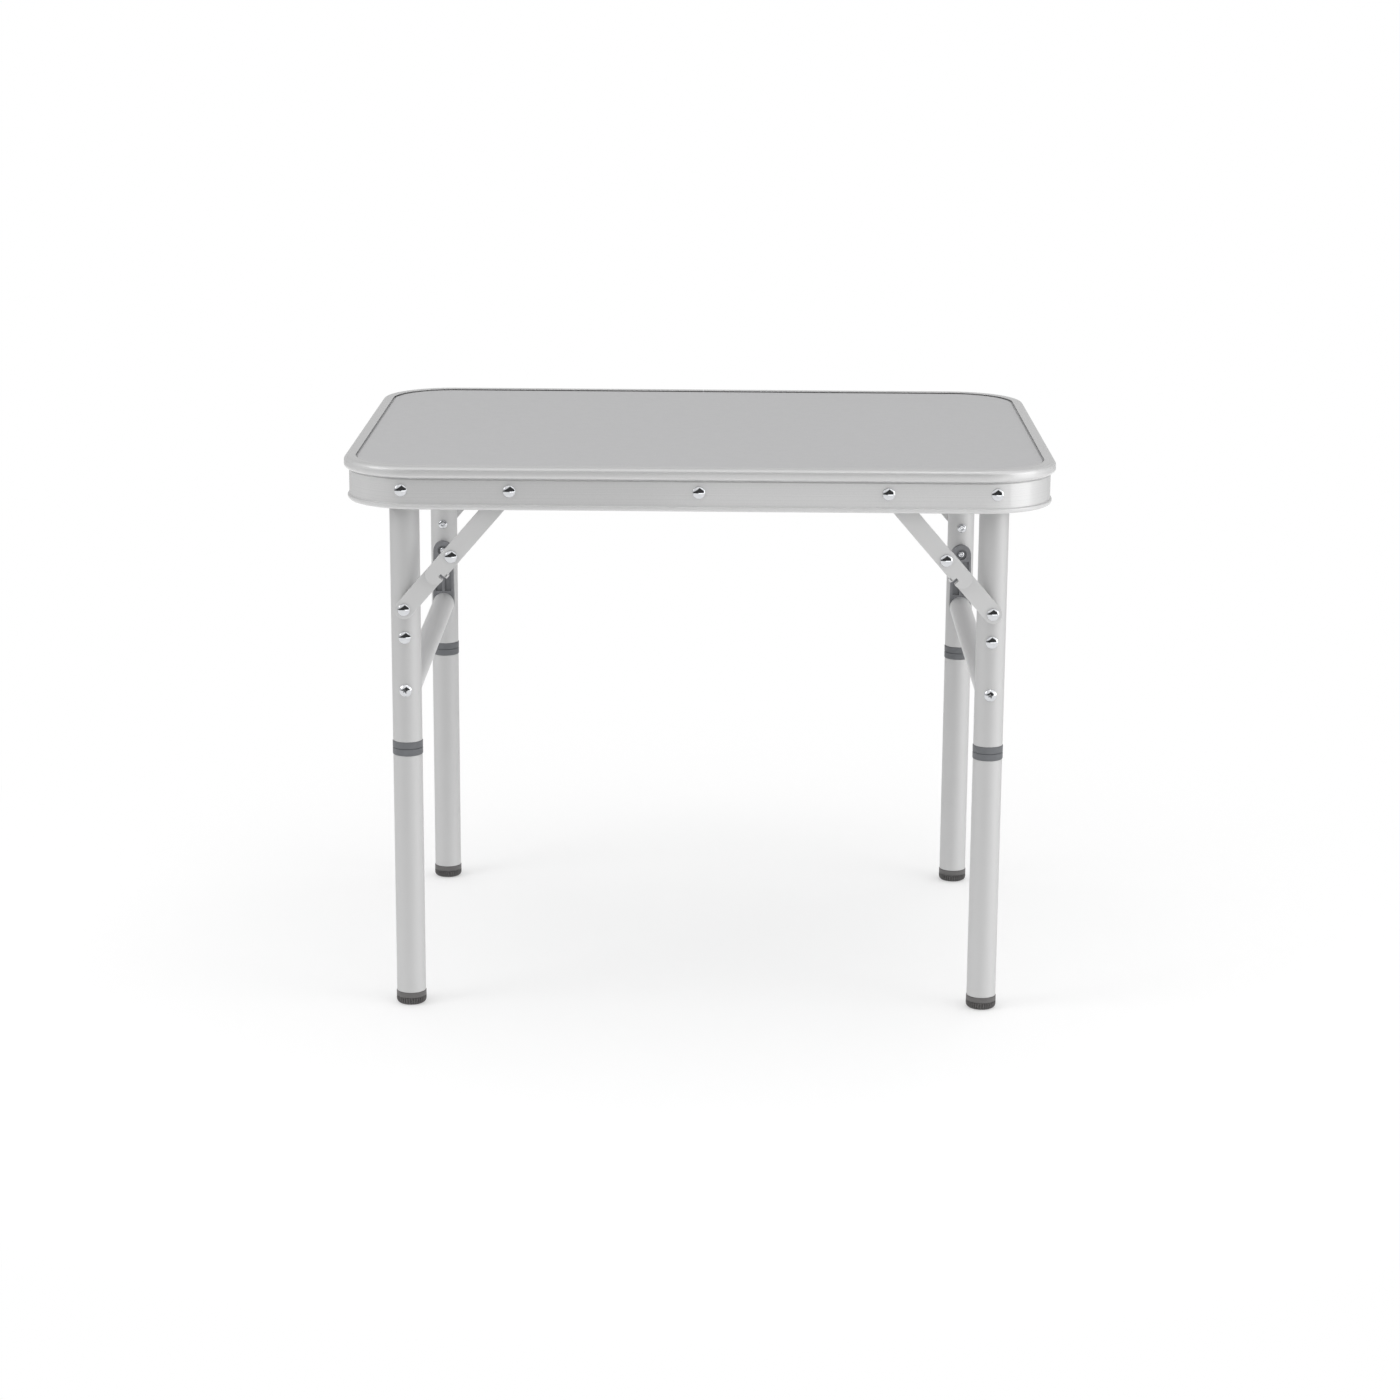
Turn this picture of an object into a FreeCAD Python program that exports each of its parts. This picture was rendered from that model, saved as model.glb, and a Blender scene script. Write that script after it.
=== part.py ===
import FreeCAD, Part
import math
import os
import Sketcher

# Folding camping table with screw-on leg extensions.
# Millimetres, +Z up, X along the width, -Y to the front, origin on the floor under the middle of the top.
# The front left corner is modelled and the other three corners are its mirror images.

doc = FreeCAD.newDocument("CampingTable")

# Driving dimensions, in millimetres or counts
SIZES = {
    # table top and its edge extrusion
    "table_width": 600.0,
    "table_depth": 450.0,
    "table_height": 476.0,
    "corner_radius": 65.0,
    "skirt_height": 36.5,
    "skirt_wall": 1.4,
    "skirt_inset": 4.2,
    "bead_height": 10.0,
    "bead_top_radius": 4.0,
    "bead_under_radius": 3.0,
    "low_bead_inset": 2.8,
    "low_bead_height": 4.6,
    "low_bead_radius": 2.0,
    "low_bead_chamfer": 0.9,
    "bottom_flange": 3.4,
    "lip_width": 10.0,
    "lip_thickness": 1.2,
    "ledge_width": 8.4,
    "ledge_thickness": 1.4,
    "frame_seam": 0.2,
    "panel_thickness": 5.0,
    "panel_edge_gap": 0.4,
    # batten under the middle of the panel
    "batten_width": 30.0,
    "batten_thickness": 3.0,
    "batten_tongue": 1.5,
    "batten_tab_drop": 22.0,
    # leg frames
    "leg_side_inset": 53.0,
    "leg_end_inset": 35.0,
    "leg_diameter": 25.0,
    "leg_wall": 1.2,
    "leg_over_pivot": 5.0,
    "pivot_drop": 20.5,
    "upper_leg_length": 226.4,
    "crossbar_drop": 180.0,
    "screw_drop": 174.9,
    "crossbar_diameter": 20.0,
    "crossbar_wall": 1.2,
    # moulded crossbar bracket
    "bracket_rivet_drop": 129.0,
    "bracket_top_radius": 9.2,
    "bracket_boss_radius": 10.0,
    "bracket_web": 3.0,
    "bracket_recess": 2.4,
    "bracket_rib": 2.6,
    "bracket_rim": 1.8,
    "spigot_length": 15.0,
    # screw joint in the middle of each leg, and the foot
    "collar_overhang": 0.4,
    "collar_ring": 6.0,
    "collar_gap": 0.1,
    "collar_edge": 0.5,
    "plug_length": 20.0,
    "stud_radius": 5.0,
    "stud_length": 16.0,
    "foot_ring": 5.0,
    "foot_height": 6.4,
    "foot_edge": 1.6,
    "foot_rib_count": 30,
    "foot_groove_width": 1.3,
    "foot_groove_depth": 0.7,
    # folding brace
    "brace_frame_spacing": 90.0,
    "brace_leg_drop": 104.0,
    "link_width": 16.0,
    "link_thickness": 2.0,
    "link_standoff": 2.9,
    "link_tail": 29.0,
    "lug_reach": 15.0,
    "lug_width": 4.5,
    "lug_depth": 4.2,
    "lug_thickness": 1.4,
    # rivets and screws
    "rivet_shank_radius": 3.0,
    "rivet_head_radius": 5.2,
    "rivet_head_height": 2.6,
    "rivet_tail_radius": 4.4,
    "rivet_tail_height": 1.8,
    "screw_radius": 2.1,
    "screw_length": 38.0,
    "bush_radius": 7.0,
    "spacer_radius": 6.0,
    # fits
    "run_clearance": 0.05,
    "face_gap": 0.3,
}

sheet = doc.addObject("Spreadsheet::Sheet", "Sizes")
for row, (alias, number) in enumerate(SIZES.items(), start=1):
    sheet.set(f"A{row}", alias)
    sheet.set(f"B{row}", str(number))
    sheet.setAlias(f"B{row}", alias)
doc.recompute()


class Size:
    """A length worked out from the sheet, kept as its number and as the expression that gives it."""

    def __init__(self, number, text):
        self.number = number
        self.text = text

    @staticmethod
    def of(other):
        return other if isinstance(other, Size) else Size(float(other), repr(other))

    def joined(self, other, sign, number):
        return Size(number, f"({self.text} {sign} {Size.of(other).text})")

    def __add__(self, other):
        return self.joined(other, "+", self.number + Size.of(other).number)

    def __sub__(self, other):
        return self.joined(other, "-", self.number - Size.of(other).number)

    def __mul__(self, other):
        return self.joined(other, "*", self.number * Size.of(other).number)

    def __truediv__(self, other):
        return self.joined(other, "/", self.number / Size.of(other).number)

    def __neg__(self):
        return self * -1

    def root(self):
        return Size(math.sqrt(self.number), f"sqrt({self.text})")

    def angle_over(self, base):
        degrees = math.degrees(math.atan2(self.number, base.number))
        return Size(degrees, f"atan({self.text} / {base.text})")


def size(alias):
    return Size(float(SIZES[alias]), f"Sizes.{alias}")


zero = Size(0.0, "0")


def bind(obj, prop, value):
    obj.setExpression(prop, value.text)


def place(obj, x=zero, y=zero, z=zero):
    obj.Placement.Base = FreeCAD.Vector(x.number, y.number, z.number)
    for axis, value in (("x", x), ("y", y), ("z", z)):
        bind(obj, f".Placement.Base.{axis}", value)


# Sketches

def new_body(name):
    body = doc.addObject("PartDesign::Body", name)
    body.Label = name
    return body


def sketch_on(body, role, name, offset=zero):
    sketch = body.newObject("Sketcher::SketchObject", name)
    plane = next(f for f in body.Origin.OriginFeatures if f.Role == role)
    sketch.AttachmentSupport = [(plane, "")]
    sketch.MapMode = "FlatFace"
    sketch.AttachmentOffset = FreeCAD.Placement(FreeCAD.Vector(0, 0, offset.number), FreeCAD.Rotation())
    if offset is not zero:
        bind(sketch, ".AttachmentOffset.Base.z", offset)
    return sketch


def hold(sketch, kind, where, value):
    index = sketch.addConstraint(Sketcher.Constraint(kind, *where, value.number))
    sketch.setExpression(f"Constraints[{index}]", value.text)


def arc_between(start, end, radius, turn):
    # turn is 1 for a minor arc that runs anticlockwise from start to end, and -1 for a clockwise one
    chord = end - start
    reach = math.sqrt(max(radius ** 2 - (chord.Length / 2) ** 2, 0.0))
    left = FreeCAD.Vector(-chord.y, chord.x, 0).normalize()
    centre = (start + end) / 2 + left * reach * turn
    first, last = (start, end) if turn > 0 else (end, start)
    angles = [math.atan2(p.y - centre.y, p.x - centre.x) for p in (first, last)]
    circle = Part.Circle(centre, FreeCAD.Vector(0, 0, 1), radius)
    return Part.ArcOfCircle(circle, angles[0], angles[1])


def outline(sketch, corners, closed=True):
    # Each corner is (x, y), or (x, y, radius, turn) where an arc leads on to the next corner.
    points = [FreeCAD.Vector(c[0].number, c[1].number, 0) for c in corners]
    spans = len(corners) if closed else len(corners) - 1
    ends = []
    for i in range(spans):
        start, end = points[i], points[(i + 1) % len(points)]
        if len(corners[i]) == 4:
            radius, turn = corners[i][2:]
            geo = sketch.addGeometry(arc_between(start, end, radius.number, turn))
            ends.append((geo, 1, 2) if turn > 0 else (geo, 2, 1))
            hold(sketch, "Radius", (geo,), radius)
        else:
            geo = sketch.addGeometry(Part.LineSegment(start, end))
            ends.append((geo, 1, 2))
    joints = spans if closed else spans - 1
    for i in range(joints):
        here, after = ends[i], ends[(i + 1) % spans]
        sketch.addConstraint(Sketcher.Constraint("Coincident", here[0], here[2], after[0], after[1]))
    for i, corner in enumerate(corners):
        geo, first, last = ends[i] if i < spans else (ends[-1][0], ends[-1][2], ends[-1][2])
        hold(sketch, "DistanceX", (-1, 1, geo, first), corner[0])
        hold(sketch, "DistanceY", (-1, 1, geo, first), corner[1])


def ring(sketch, x, y, radius):
    centre = FreeCAD.Vector(x.number, y.number, 0)
    geo = sketch.addGeometry(Part.Circle(centre, FreeCAD.Vector(0, 0, 1), radius.number))
    hold(sketch, "DistanceX", (-1, 1, geo, 3), x)
    hold(sketch, "DistanceY", (-1, 1, geo, 3), y)
    hold(sketch, "Radius", (geo,), radius)


def box_outline(left, low, right, high):
    return [(left, low), (right, low), (right, high), (left, high)]


def rounded_outline(half_wide, half_deep, radius):
    near_x, near_y = half_wide - radius, half_deep - radius
    return [
        (near_x, half_deep, radius, -1),
        (half_wide, near_y),
        (half_wide, -near_y, radius, -1),
        (near_x, -half_deep),
        (-near_x, -half_deep, radius, -1),
        (-half_wide, -near_y),
        (-half_wide, near_y, radius, -1),
        (-near_x, half_deep),
    ]


# Features

def turned(name, role, corners):
    # A body of revolution. Its outline is (radius, distance along the axis): Z on XZ_Plane, Y on XY_Plane.
    body = new_body(name)
    sketch = sketch_on(body, role, name + "_outline")
    outline(sketch, corners)
    turn = body.newObject("PartDesign::Revolution", name + "_turn")
    turn.Profile = sketch
    turn.ReferenceAxis = (sketch, ["V_Axis"])
    turn.Angle = 360.0
    return body


def padded(body, sketch, name, length, reverse=False):
    pad = body.newObject("PartDesign::Pad", name)
    pad.Profile = sketch
    pad.Reversed = reverse
    bind(pad, "Length", length)
    return pad


def cut_through(body, role, name, circles):
    # Round holes right through a body, square to one of its planes.
    sketch = sketch_on(body, role, name + "_sketch")
    for x, y, radius in circles:
        ring(sketch, x, y, radius)
    pocket = body.newObject("PartDesign::Pocket", name)
    pocket.Profile = sketch
    pocket.Type = "ThroughAll"
    pocket.Midplane = True
    return pocket


def mirrored(source, name, normal):
    copy = doc.addObject("Part::Mirroring", name)
    copy.Label = name
    copy.Source = source
    copy.Base = FreeCAD.Vector(0, 0, 0)
    copy.Normal = normal
    return copy


def grouped(name, members):
    group = doc.addObject("Part::Compound", name)
    group.Label = name
    group.Links = members
    return group


ACROSS = FreeCAD.Vector(1, 0, 0)
FRONT_BACK = FreeCAD.Vector(0, 1, 0)
nodes = []


def four_corners(source):
    # The front left original and its three mirror images, named after their corners.
    stem = source.Label.replace("front_left_", "")
    front_right = mirrored(source, "front_right_" + stem, ACROSS)
    rear_left = mirrored(source, "rear_left_" + stem, FRONT_BACK)
    rear_right = mirrored(front_right, "rear_right_" + stem, FRONT_BACK)
    return [source, front_right, rear_left, rear_right]


def keep(*objects):
    nodes.extend(objects)


# Places worked out from the driving dimensions
half_wide = size("table_width") / 2
half_deep = size("table_depth") / 2
top_z = size("table_height")
pivot_z = top_z - size("pivot_drop")
leg_x = size("leg_side_inset") - size("table_width") / 2
leg_y = size("leg_end_inset") - size("table_depth") / 2
leg_radius = size("leg_diameter") / 2
bore_radius = leg_radius - size("leg_wall")
leg_outer_y = leg_y - leg_radius
leg_inner_y = leg_y + leg_radius
skirt_outer_y = size("skirt_inset") - half_deep
skirt_inner_y = skirt_outer_y + size("skirt_wall")
panel_top_z = top_z - size("lip_thickness")
panel_bottom_z = panel_top_z - size("panel_thickness")
ledge_bottom_z = panel_bottom_z - size("ledge_thickness")
skirt_bottom_z = top_z - size("skirt_height")
frame_pivot_x = leg_x + size("brace_frame_spacing")
brace_leg_z = pivot_z - size("brace_leg_drop")
bracket_rivet_z = pivot_z - size("bracket_rivet_drop")
crossbar_z = pivot_z - size("crossbar_drop")
screw_z = pivot_z - size("screw_drop")
parting_z = pivot_z - size("upper_leg_length")
collar_top_z = parting_z + size("collar_ring")
stud_ring_z = parting_z - size("collar_ring")
foot_top_z = size("foot_height")
foot_seat_z = foot_top_z + size("collar_gap")
foot_ring_z = foot_seat_z + size("foot_ring")
shank = size("rivet_shank_radius")
shank_hole = shank + size("run_clearance")
plug_radius = bore_radius - size("run_clearance")
stud_hole = size("stud_radius") + size("run_clearance")
collar_radius = leg_radius + size("collar_overhang")
face_gap = size("face_gap")
# layers of the brace, from the leg out to the skirt
low_link_back_y = leg_outer_y - size("link_standoff")
low_link_front_y = low_link_back_y - size("link_thickness")
top_link_back_y = low_link_front_y - size("rivet_head_height") - face_gap
top_link_front_y = top_link_back_y - size("link_thickness")


# Table top

def corner_drop(x, inset):
    # How far a face that lies this far inside the edge has curved back at this distance from the middle.
    arc_radius = size("corner_radius") - inset
    into = x - (half_wide - size("corner_radius"))
    return arc_radius - (arc_radius * arc_radius - into * into).root()


def pivot_seat_y():
    return skirt_outer_y + corner_drop(-leg_x, size("skirt_inset"))


def bush_seat_y():
    # The bush meets the curved skirt at the outer side of its end.
    back = size("skirt_inset") + size("skirt_wall")
    return skirt_inner_y + corner_drop(size("bush_radius") - leg_x, back) + size("run_clearance")


def frame_section():
    # Section of the edge extrusion where it crosses the middle of the rear edge, (y, z).
    def at(inward, down):
        return (half_deep - inward, top_z - down)

    wall_back = size("skirt_inset") + size("skirt_wall")
    bead_top = size("bead_top_radius")
    bead_low = size("bead_under_radius")
    low_bead = size("skirt_height") - size("low_bead_height")
    low_round = size("low_bead_radius")
    ledge_top = size("lip_thickness") + size("panel_thickness")
    return [
        at(size("lip_width"), zero),
        (*at(bead_top, zero), bead_top, -1),
        at(zero, bead_top),
        (*at(zero, size("bead_height") - bead_low), bead_low, -1),
        at(bead_low, size("bead_height")),
        at(size("skirt_inset"), size("bead_height")),
        at(size("skirt_inset"), low_bead),
        at(size("low_bead_inset"), low_bead + size("low_bead_chamfer")),
        (*at(size("low_bead_inset"), size("skirt_height") - low_round), low_round, -1),
        at(size("low_bead_inset") + low_round, size("skirt_height")),
        at(wall_back + size("bottom_flange"), size("skirt_height")),
        at(wall_back + size("bottom_flange"), size("skirt_height") - size("skirt_wall")),
        at(wall_back, size("skirt_height") - size("skirt_wall")),
        at(wall_back, ledge_top + size("ledge_thickness")),
        at(wall_back + size("ledge_width"), ledge_top + size("ledge_thickness")),
        at(wall_back + size("ledge_width"), ledge_top),
        at(wall_back, ledge_top),
        at(wall_back, size("lip_thickness")),
        at(size("lip_width"), size("lip_thickness")),
    ]


def edge_frame():
    # One extrusion bent round the top, its two ends meeting in the middle of the rear edge.
    body = new_body("edge_frame")
    half_seam = size("frame_seam") / 2
    path = sketch_on(body, "XY_Plane", "frame_path", top_z)
    loop = rounded_outline(half_wide, half_deep, size("corner_radius"))
    outline(path, [(half_seam, half_deep), *loop, (-half_seam, half_deep)], closed=False)
    section = sketch_on(body, "YZ_Plane", "frame_section", half_seam)
    outline(section, frame_section())
    pipe = body.newObject("PartDesign::AdditivePipe", "frame_sweep")
    pipe.Profile = section
    pipe.Spine = path
    pipe.Mode = "Frenet"
    doc.recompute()
    holes = [(zero, pivot_z, shank_hole)]
    for x in (leg_x, frame_pivot_x):
        holes.append((x, pivot_z, shank_hole))
        holes.append((-x, pivot_z, shank_hole))
    cut_through(body, "XZ_Plane", "rivet_holes", holes)
    # flats pressed into the curved ends of the front and rear, where the outer rivet heads seat
    for name, reverse in (("front_seats", False), ("rear_seats", True)):
        seat = -pivot_seat_y() if not reverse else pivot_seat_y()
        sketch = sketch_on(body, "XZ_Plane", name + "_sketch", seat)
        for x in (leg_x, -leg_x):
            ring(sketch, x, pivot_z, size("rivet_head_radius") + face_gap)
        pocket = body.newObject("PartDesign::Pocket", name)
        pocket.Profile = sketch
        pocket.Reversed = not reverse
        bind(pocket, "Length", size("skirt_inset"))
    return body


def tabletop_panel():
    # Laminate board caught between the lip and the ledge of the frame.
    body = new_body("tabletop_panel")
    inset = size("skirt_inset") + size("skirt_wall") + size("panel_edge_gap")
    sketch = sketch_on(body, "XY_Plane", "panel_outline", panel_bottom_z)
    outline(sketch, rounded_outline(half_wide - inset, half_deep - inset, size("corner_radius") - inset))
    padded(body, sketch, "panel_board", size("panel_thickness"))
    return body


def centre_batten():
    # Flat bar under the panel. Thinner tongues pass below the ledge and turn down behind the skirt.
    body = new_body("centre_batten")
    half = size("batten_width") / 2
    bar_bottom = panel_bottom_z - size("batten_thickness")
    bar_end = half_deep - size("skirt_inset") - size("skirt_wall") - size("ledge_width") - face_gap
    tab_face = -skirt_inner_y
    tab_back = tab_face - size("batten_tongue")
    tongue_top = bar_bottom + size("batten_tongue")
    tab_low = bar_bottom - size("batten_tab_drop")
    section = sketch_on(body, "YZ_Plane", "batten_section")
    outline(section, [
        (-bar_end, panel_bottom_z),
        (-bar_end, tongue_top),
        (-tab_face, tongue_top),
        (-tab_face, tab_low),
        (-tab_back, tab_low),
        (-tab_back, bar_bottom),
        (tab_back, bar_bottom),
        (tab_back, tab_low),
        (tab_face, tab_low),
        (tab_face, tongue_top),
        (bar_end, tongue_top),
        (bar_end, panel_bottom_z),
    ])
    pad = padded(body, section, "batten_bar", half * 2)
    pad.Midplane = True
    doc.recompute()
    cut_through(body, "XZ_Plane", "batten_holes", [(zero, pivot_z, shank_hole)])
    return body


def rivet(name, head_y, tail_y, x, z, shoulder=None):
    # Dome head at the front, shank to the rear, closed tail. A shoulder is (radius, front, back).
    head = size("rivet_head_radius")
    rise = size("rivet_head_height")
    dome = (head * head + rise * rise) / (rise * 2)
    tail = size("rivet_tail_radius")
    fall = size("rivet_tail_height")
    cap = (tail * tail + fall * fall) / (fall * 2)
    step = []
    if shoulder:
        radius, front, back = shoulder
        step = [(shank, back), (radius, back), (radius, front), (shank, front)]
    body = turned(name, "XY_Plane", [
        (zero, head_y - rise, dome, 1),
        (head, head_y),
        (shank, head_y),
        *reversed(step),
        (shank, tail_y),
        (tail, tail_y, cap, 1),
        (zero, tail_y + fall),
    ])
    place(body, x, zero, z)
    return body


def spacer(name, front_y, back_y, radius, x, z):
    body = turned(name, "XY_Plane", [
        (shank_hole, front_y),
        (radius, front_y),
        (radius, back_y),
        (shank_hole, back_y),
    ])
    place(body, x, zero, z)
    return body


def table_top():
    keep(edge_frame(), tabletop_panel(), centre_batten())
    pivot = rivet("front_left_leg_pivot_rivet", pivot_seat_y(), leg_inner_y + face_gap, leg_x, pivot_z)
    keep(grouped("leg_pivot_rivets", four_corners(pivot)))
    brace = rivet("front_left_brace_frame_rivet", skirt_outer_y, top_link_back_y + face_gap,
                  frame_pivot_x, pivot_z)
    keep(grouped("brace_frame_rivets", four_corners(brace)))
    middle = rivet("front_batten_rivet", skirt_outer_y, skirt_inner_y + size("batten_tongue"), zero, pivot_z)
    keep(grouped("batten_rivets", [middle, mirrored(middle, "rear_batten_rivet", FRONT_BACK)]))
    bush = spacer("front_left_pivot_bush", bush_seat_y(), leg_outer_y - face_gap, size("bush_radius"),
                  leg_x, pivot_z)
    keep(grouped("leg_pivot_bushes", four_corners(bush)))
    sleeve = spacer("front_left_brace_spacer", skirt_inner_y, top_link_front_y - face_gap,
                    size("spacer_radius"), frame_pivot_x, pivot_z)
    keep(grouped("brace_spacers", four_corners(sleeve)))


# Leg frames

def upper_leg():
    body = turned("front_left_upper_leg", "XZ_Plane", [
        (bore_radius, collar_top_z),
        (leg_radius, collar_top_z),
        (leg_radius, pivot_z + size("leg_over_pivot")),
        (bore_radius, pivot_z + size("leg_over_pivot")),
    ])
    doc.recompute()
    cut_through(body, "XZ_Plane", "upper_leg_holes", [
        (zero, pivot_z, shank_hole),
        (zero, brace_leg_z, shank_hole),
        (zero, bracket_rivet_z, shank_hole),
        (zero, screw_z, size("screw_radius") + size("run_clearance")),
    ])
    place(body, leg_x, leg_y)
    return body


def leg_insert():
    # Moulded insert with the thread for the stud, its ring showing below the upper tube.
    edge = size("collar_edge")
    body = turned("front_left_leg_insert", "XZ_Plane", [
        (stud_hole, parting_z),
        (collar_radius - edge, parting_z),
        (collar_radius, parting_z + edge),
        (collar_radius, collar_top_z),
        (plug_radius, collar_top_z),
        (plug_radius, collar_top_z + size("plug_length")),
        (zero, collar_top_z + size("plug_length")),
        (zero, parting_z + size("stud_length") + face_gap),
        (stud_hole, parting_z + size("stud_length") + face_gap),
    ])
    place(body, leg_x, leg_y)
    return body


def crossbar():
    # Round tube between the brackets of the front and rear legs.
    outer = size("crossbar_diameter") / 2
    inner = outer - size("crossbar_wall")
    front = leg_inner_y + size("bracket_web")
    body = turned("left_crossbar", "XY_Plane", [
        (inner, front),
        (outer, front),
        (outer, -front),
        (inner, -front),
    ])
    place(body, leg_x, zero, crossbar_z)
    return body


def crossbar_bracket():
    # Moulding that saddles the inner side of the leg and plugs the end of the crossbar.
    body = new_body("front_left_crossbar_bracket")
    top = size("bracket_top_radius")
    boss = size("bracket_boss_radius")
    face = leg_radius + size("bracket_web")
    front = sketch_on(body, "XZ_Plane", "bracket_outline")
    outline(front, [
        (-top, bracket_rivet_z, top, -1),
        (zero, bracket_rivet_z + top, top, -1),
        (top, bracket_rivet_z),
        (boss, crossbar_z, boss, -1),
        (zero, crossbar_z - boss, boss, -1),
        (-boss, crossbar_z),
    ])
    padded(body, front, "bracket_plate", face, reverse=True)
    saddle = sketch_on(body, "XY_Plane", "bracket_saddle_sketch")
    ring(saddle, zero, zero, leg_radius)
    doc.recompute()
    cut = body.newObject("PartDesign::Pocket", "bracket_saddle")
    cut.Profile = saddle
    cut.Type = "ThroughAll"
    cut.Midplane = True
    recess = sketch_on(body, "XZ_Plane", "bracket_recess_sketch", -face)
    rib = size("bracket_rib") / 2
    rim = top - size("bracket_rim")
    high = bracket_rivet_z - size("rivet_tail_radius") - size("bracket_rim")
    low = crossbar_z + boss + size("bracket_rim")
    outline(recess, box_outline(rib, low, rim, high))
    outline(recess, box_outline(-rim, low, -rib, high))
    pocket = body.newObject("PartDesign::Pocket", "bracket_recess")
    pocket.Profile = recess
    bind(pocket, "Length", size("bracket_recess"))
    spigot = sketch_on(body, "XZ_Plane", "bracket_spigot_sketch", -face)
    bore = size("crossbar_diameter") / 2 - size("crossbar_wall") - size("run_clearance")
    ring(spigot, zero, crossbar_z, bore)
    padded(body, spigot, "bracket_spigot", size("spigot_length"), reverse=True)
    doc.recompute()
    cut_through(body, "XZ_Plane", "bracket_holes", [
        (zero, bracket_rivet_z, shank_hole),
        (zero, screw_z, size("screw_radius") + size("run_clearance")),
    ])
    place(body, leg_x, leg_y)
    return body


def crossbar_screw():
    # Pan head screw along the axis of the crossbar.
    head = size("rivet_head_radius")
    rise = size("rivet_head_height")
    dome = (head * head + rise * rise) / (rise * 2)
    thread = size("screw_radius")
    body = turned("front_left_crossbar_screw", "XY_Plane", [
        (zero, leg_outer_y - rise, dome, 1),
        (head, leg_outer_y),
        (thread, leg_outer_y),
        (thread, leg_outer_y + size("screw_length")),
        (zero, leg_outer_y + size("screw_length")),
    ])
    place(body, leg_x, zero, screw_z)
    return body


def leg_frames():
    for make in (upper_leg, leg_insert, crossbar_bracket):
        keep(*four_corners(make()))
    bar = crossbar()
    keep(bar, mirrored(bar, "right_crossbar", ACROSS))
    bracket_face_y = leg_inner_y + size("bracket_web")
    fixing = rivet("front_left_bracket_rivet", leg_outer_y, bracket_face_y, leg_x, bracket_rivet_z)
    shoulder = (size("rivet_head_radius"), low_link_back_y + face_gap, leg_outer_y)
    brace = rivet("front_left_brace_leg_rivet", low_link_front_y, leg_inner_y, leg_x, brace_leg_z, shoulder)
    for piece, plural in (
        (fixing, "bracket_rivets"),
        (brace, "brace_leg_rivets"),
        (crossbar_screw(), "crossbar_screws"),
    ):
        front_left, front_right, rear_left, rear_right = four_corners(piece)
        keep(grouped("left_" + plural, [front_left, rear_left]))
        keep(grouped("right_" + plural, [front_right, rear_right]))


# Screw-on leg extensions and feet

def extension_tube():
    body = turned("front_left_extension_tube", "XZ_Plane", [
        (bore_radius, foot_ring_z),
        (leg_radius, foot_ring_z),
        (leg_radius, stud_ring_z),
        (bore_radius, stud_ring_z),
    ])
    place(body, leg_x, leg_y)
    return body


def stud_plug():
    # Moulded plug with the stud that screws into the upper leg.
    edge = size("collar_edge")
    ring_top = parting_z - size("collar_gap")
    body = turned("front_left_stud_plug", "XZ_Plane", [
        (zero, stud_ring_z - size("plug_length")),
        (plug_radius, stud_ring_z - size("plug_length")),
        (plug_radius, stud_ring_z),
        (collar_radius, stud_ring_z),
        (collar_radius, ring_top - edge),
        (collar_radius - edge, ring_top),
        (size("stud_radius"), ring_top),
        (size("stud_radius"), ring_top + size("stud_length")),
        (zero, ring_top + size("stud_length")),
    ])
    place(body, leg_x, leg_y)
    return body


def foot_insert():
    # The same threaded insert at the lower end of the extension.
    edge = size("collar_edge")
    body = turned("front_left_foot_insert", "XZ_Plane", [
        (stud_hole, foot_seat_z),
        (collar_radius - edge, foot_seat_z),
        (collar_radius, foot_seat_z + edge),
        (collar_radius, foot_ring_z),
        (plug_radius, foot_ring_z),
        (plug_radius, foot_ring_z + size("plug_length")),
        (zero, foot_ring_z + size("plug_length")),
        (zero, foot_seat_z + size("stud_length") + face_gap),
        (stud_hole, foot_seat_z + size("stud_length") + face_gap),
    ])
    place(body, leg_x, leg_y)
    return body


def screw_foot():
    # Foot with finger grooves round its rim and a stud above it.
    edge = size("foot_edge")
    body = turned("front_left_screw_foot", "XZ_Plane", [
        (zero, zero),
        (collar_radius - edge, zero, edge, 1),
        (collar_radius, edge),
        (collar_radius, foot_top_z),
        (size("stud_radius"), foot_top_z),
        (size("stud_radius"), foot_top_z + size("stud_length")),
        (zero, foot_top_z + size("stud_length")),
    ])
    sketch = sketch_on(body, "XY_Plane", "foot_groove_sketch")
    half = size("foot_groove_width") / 2
    outline(sketch, box_outline(collar_radius - size("foot_groove_depth"), -half, collar_radius * 2, half))
    doc.recompute()
    groove = body.newObject("PartDesign::Pocket", "foot_groove")
    groove.Profile = sketch
    groove.Reversed = True
    bind(groove, "Length", foot_top_z - size("foot_groove_depth"))
    doc.recompute()
    around = body.newObject("PartDesign::PolarPattern", "foot_grooves")
    around.Originals = [groove]
    around.Axis = (sketch, ["N_Axis"])
    around.Angle = 360.0
    bind(around, "Occurrences", size("foot_rib_count"))
    body.Tip = around
    place(body, leg_x, leg_y)
    return body


def leg_extensions():
    for make in (extension_tube, stud_plug, foot_insert, screw_foot):
        keep(*four_corners(make()))


# Folding braces

brace_reach = size("brace_frame_spacing")
brace_drop = size("brace_leg_drop")
brace_length = (brace_reach * brace_reach + brace_drop * brace_drop).root()
# link lengths that lie straight with the leg down and flat on each other with the leg up
top_link_length = (brace_length + brace_drop - brace_reach) / 2
low_link_length = (brace_length - brace_drop + brace_reach) / 2


def along_brace(body, x, z):
    # Turn a link from +X to the slope from the frame pivot down to the leg.
    slope = brace_drop.angle_over(brace_reach)
    body.Placement.Rotation = FreeCAD.Rotation(FreeCAD.Vector(0, 1, 0), 180 - slope.number)
    bind(body, ".Placement.Rotation.Angle", Size(180.0, "180 deg") - slope)
    place(body, x, zero, z)


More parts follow.
